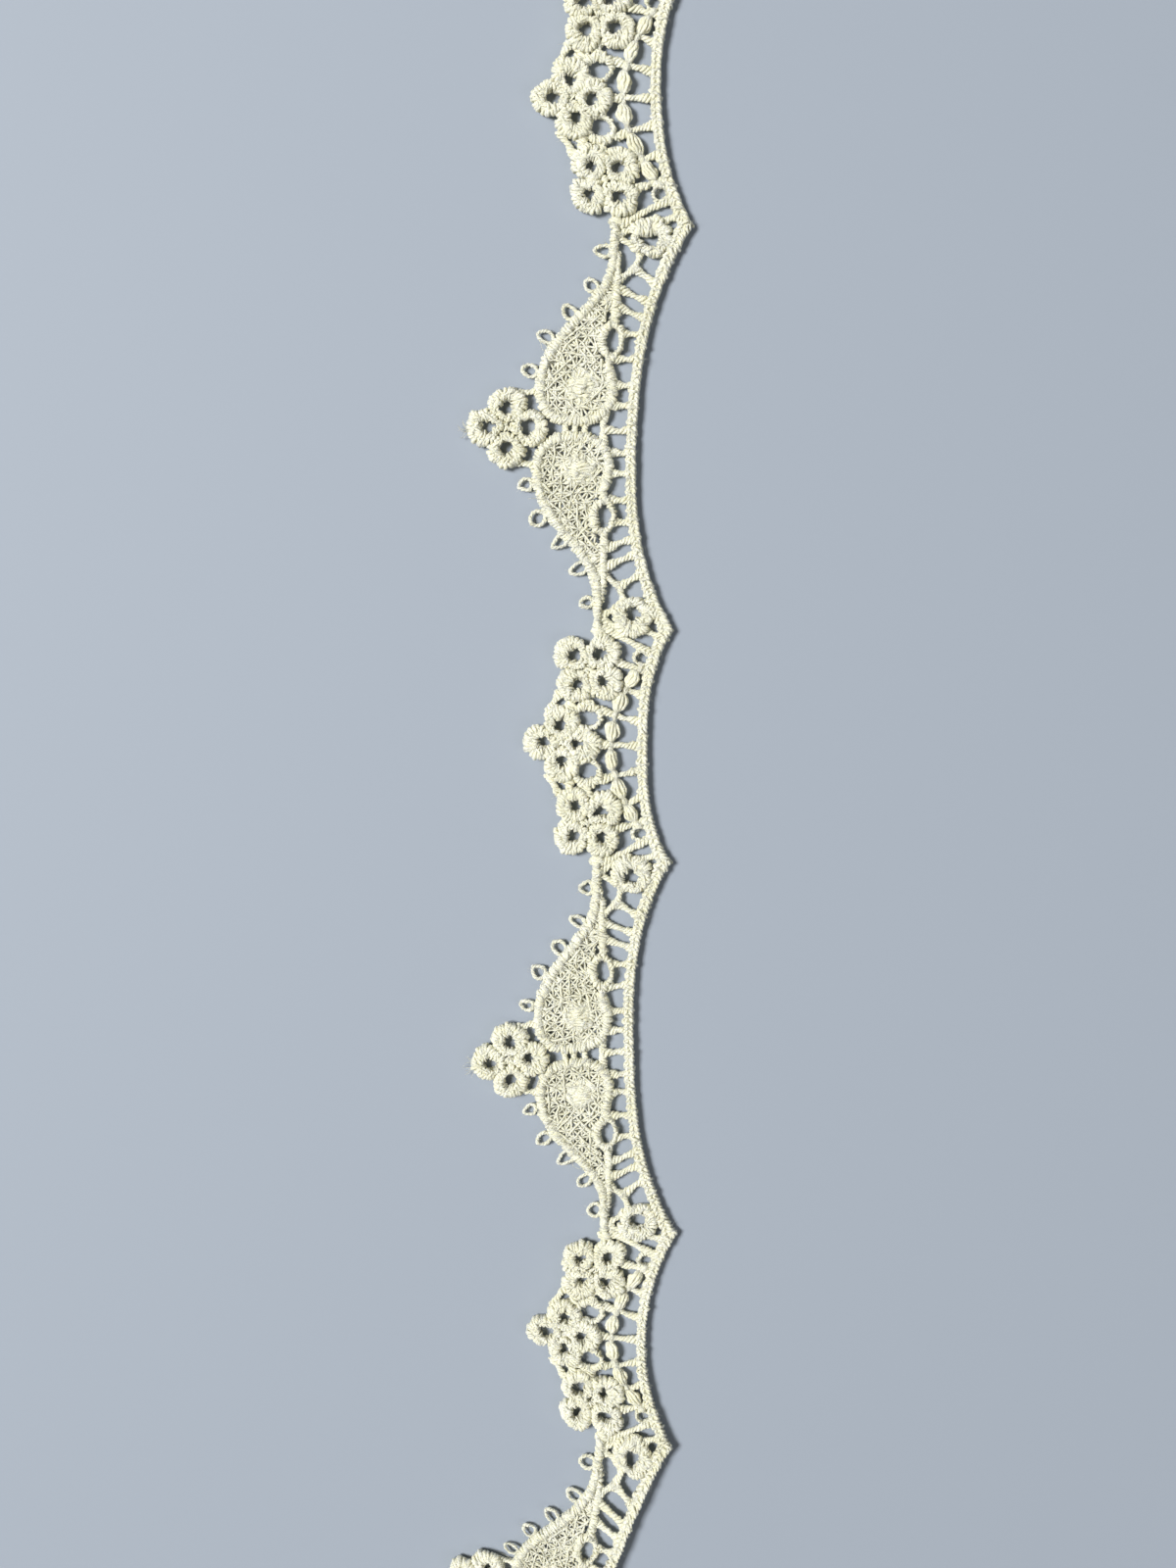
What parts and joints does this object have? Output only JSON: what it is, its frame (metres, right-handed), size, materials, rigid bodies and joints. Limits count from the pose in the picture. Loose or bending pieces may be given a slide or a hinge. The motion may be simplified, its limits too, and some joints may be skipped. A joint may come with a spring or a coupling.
{
  "type": "guipure lace edging",
  "caption": "Cut length of ivory guipure lace edging with teardrop scallops, flower groups, picots and a plaited header cord for sewing to a hem.",
  "frame": {"origin": "back of the header cord, on its middle line, at the middle flower group", "axes": "+Y along the edging, +X from the scallops towards the header (sewing edge), +Z out of the face"},
  "size_m": [0.0252, 0.1944, 0.002],
  "materials": {
    "ivory_thread": "matt cotton embroidery thread with a soft sheen along each strand"
  },
  "bodies": {
    "root": {"lace_edging": "ivory_thread"}
  },
  "joints": []
}
